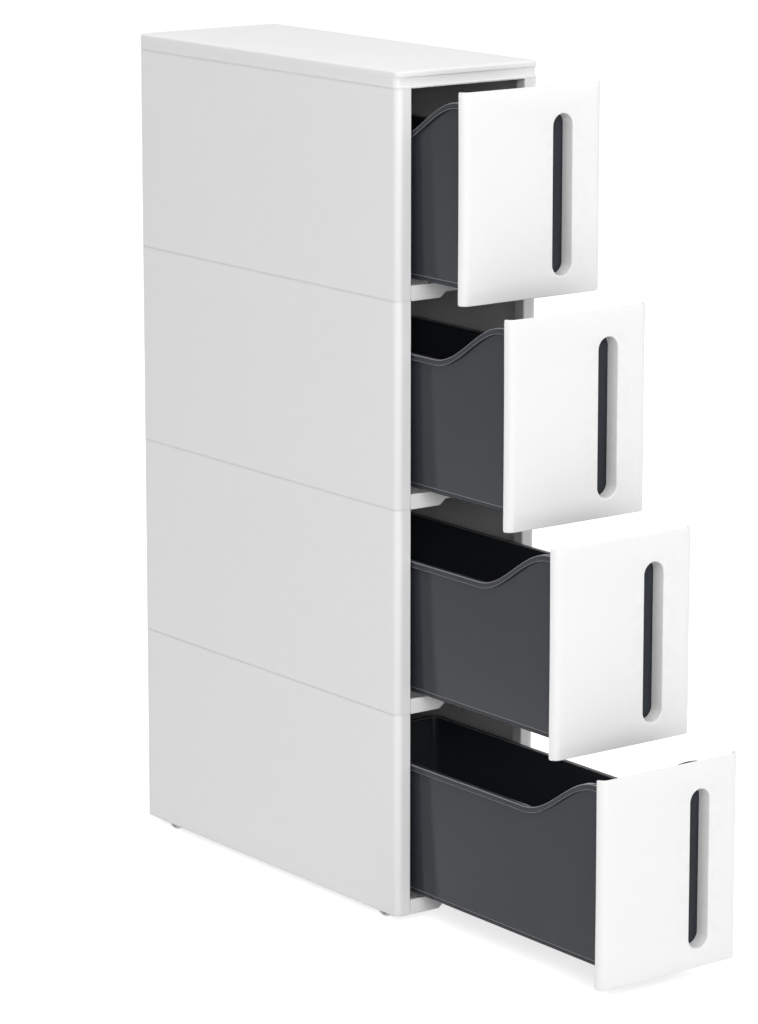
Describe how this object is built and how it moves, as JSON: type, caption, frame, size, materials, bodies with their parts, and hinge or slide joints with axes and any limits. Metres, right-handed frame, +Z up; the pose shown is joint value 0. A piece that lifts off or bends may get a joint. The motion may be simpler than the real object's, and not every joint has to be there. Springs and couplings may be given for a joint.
{
  "type": "slim rolling drawer tower",
  "caption": "Narrow upright storage tower on wheels: stacked tiers with sliding dark bins behind white fronts with upright slot handles, under a flat cover.",
  "frame": {"origin": "on the floor, under the middle of the tower's whole box with its drawers out as drawn", "axes": "+X across to the right as seen from the front, -Y to the front where the drawers slide out, +Z up"},
  "size_m": [0.172, 0.756, 0.844],
  "materials": {
    "cabinet_plastic": "satin white moulded polypropylene",
    "front_plastic": "smooth white moulding with a soft gloss",
    "bin_plastic": "dark grey moulding with a soft gloss",
    "wheel_plastic": "white nylon",
    "screw_steel": "zinc plated steel"
  },
  "bodies": {
    "cabinet": {"top_cover": "cabinet_plastic", "side_left_1": "cabinet_plastic", "side_left_2": "cabinet_plastic", "side_left_3": "cabinet_plastic", "side_left_4": "cabinet_plastic", "side_right_1": "cabinet_plastic", "side_right_2": "cabinet_plastic", "side_right_3": "cabinet_plastic", "side_right_4": "cabinet_plastic", "back_panel_1": "cabinet_plastic", "back_panel_2": "cabinet_plastic", "back_panel_3": "cabinet_plastic", "back_panel_4": "cabinet_plastic", "shelf_1": "cabinet_plastic", "shelf_2": "cabinet_plastic", "shelf_3": "cabinet_plastic", "base_shelf": "cabinet_plastic"},
    "drawer_1": {"drawer_bin_1": "bin_plastic", "drawer_front_1": "front_plastic", "front_screws_1": "screw_steel"},
    "drawer_2": {"drawer_bin_2": "bin_plastic", "drawer_front_2": "front_plastic", "front_screws_2": "screw_steel"},
    "drawer_3": {"drawer_bin_3": "bin_plastic", "drawer_front_3": "front_plastic", "front_screws_3": "screw_steel"},
    "drawer_4": {"drawer_bin_4": "bin_plastic", "drawer_front_4": "front_plastic", "front_screws_4": "screw_steel"},
    "wheel_front_left": {"wheel_front_left": "wheel_plastic"},
    "wheel_front_right": {"wheel_front_right": "wheel_plastic"},
    "wheel_back_left": {"wheel_back_left": "wheel_plastic"},
    "wheel_back_right": {"wheel_back_right": "wheel_plastic"}
  },
  "joints": [
    {"name": "drawer_1_slide", "type": "slide", "parent": "cabinet", "child": "drawer_1", "axis": [0, -1, 0], "range_m": [-0.091, 0.239]},
    {"name": "drawer_2_slide", "type": "slide", "parent": "cabinet", "child": "drawer_2", "axis": [0, -1, 0], "range_m": [-0.1613, 0.1687]},
    {"name": "drawer_3_slide", "type": "slide", "parent": "cabinet", "child": "drawer_3", "axis": [0, -1, 0], "range_m": [-0.2316, 0.0984]},
    {"name": "drawer_4_slide", "type": "slide", "parent": "cabinet", "child": "drawer_4", "axis": [0, -1, 0], "range_m": [-0.3019, 0.0281]},
    {"name": "wheel_front_left_spin", "type": "hinge", "parent": "cabinet", "child": "wheel_front_left", "pos_m": [-0.07365, -0.03695, 0.0125], "axis": [1, 0, 0], "continuous": true},
    {"name": "wheel_front_right_spin", "type": "hinge", "parent": "cabinet", "child": "wheel_front_right", "pos_m": [0.07365, -0.03695, 0.0125], "axis": [1, 0, 0], "continuous": true},
    {"name": "wheel_back_left_spin", "type": "hinge", "parent": "cabinet", "child": "wheel_back_left", "pos_m": [-0.07365, 0.33405, 0.0125], "axis": [1, 0, 0], "continuous": true},
    {"name": "wheel_back_right_spin", "type": "hinge", "parent": "cabinet", "child": "wheel_back_right", "pos_m": [0.07365, 0.33405, 0.0125], "axis": [1, 0, 0], "continuous": true}
  ]
}
